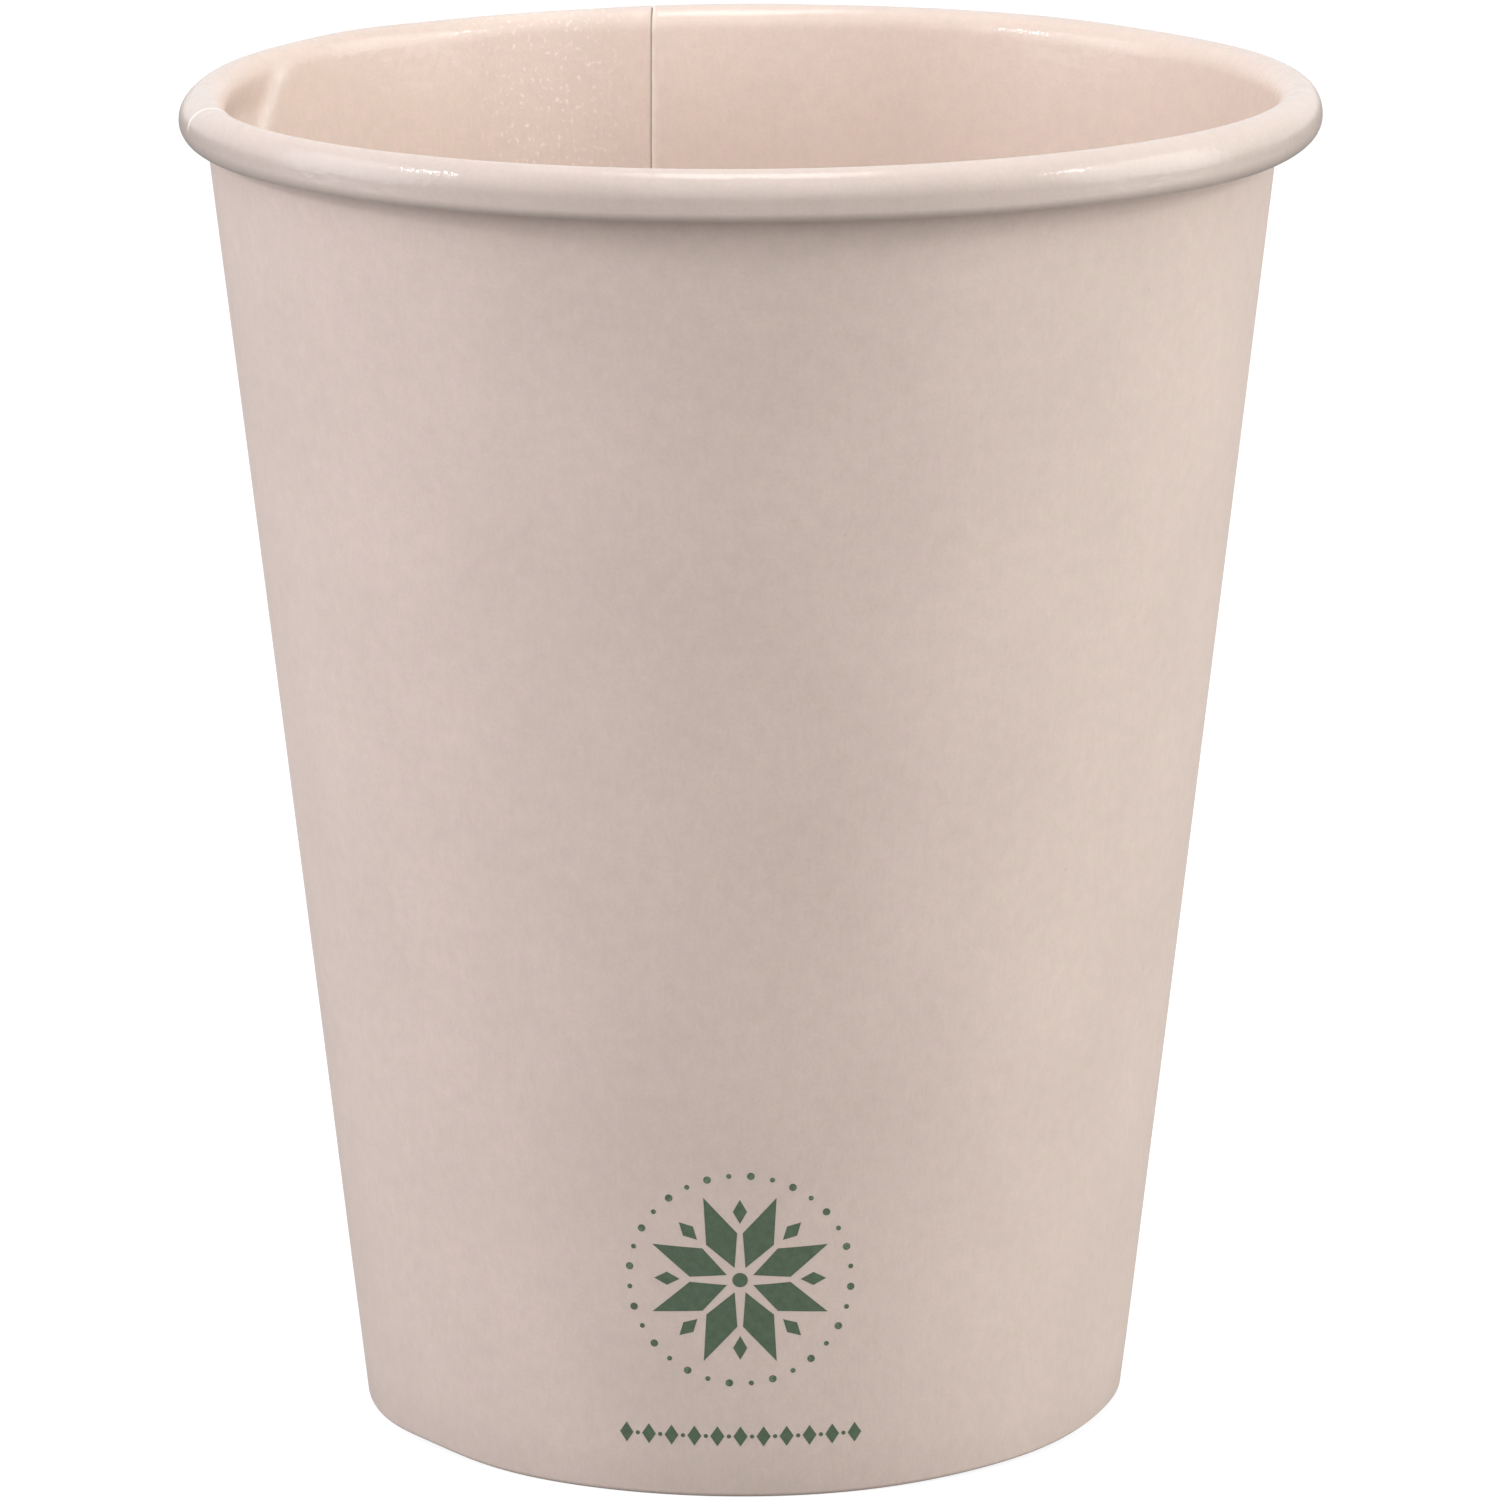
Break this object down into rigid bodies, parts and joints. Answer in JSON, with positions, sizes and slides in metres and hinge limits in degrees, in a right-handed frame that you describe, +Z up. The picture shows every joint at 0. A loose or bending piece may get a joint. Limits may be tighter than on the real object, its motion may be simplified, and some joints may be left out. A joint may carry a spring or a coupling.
{
  "type": "paper cup",
  "caption": "Single-wall paper cup of pale uncoated-look board, with a rolled rim, a lapped side seam and a recessed bottom disc.",
  "frame": {"origin": "centre of the ring that the cup stands on, at table height", "axes": "+Z up along the cup's axis, -Y towards the viewer of the picture, +X to the viewer's right"},
  "size_m": [0.0899, 0.0904, 0.107],
  "materials": {
    "board": "matt",
    "lining": "satin",
    "ink": "matt"
  },
  "bodies": {
    "root": {"sidewall": "board", "sidewall_lining": "lining", "bottom_disc": "board", "bottom_lining": "lining"}
  },
  "joints": []
}
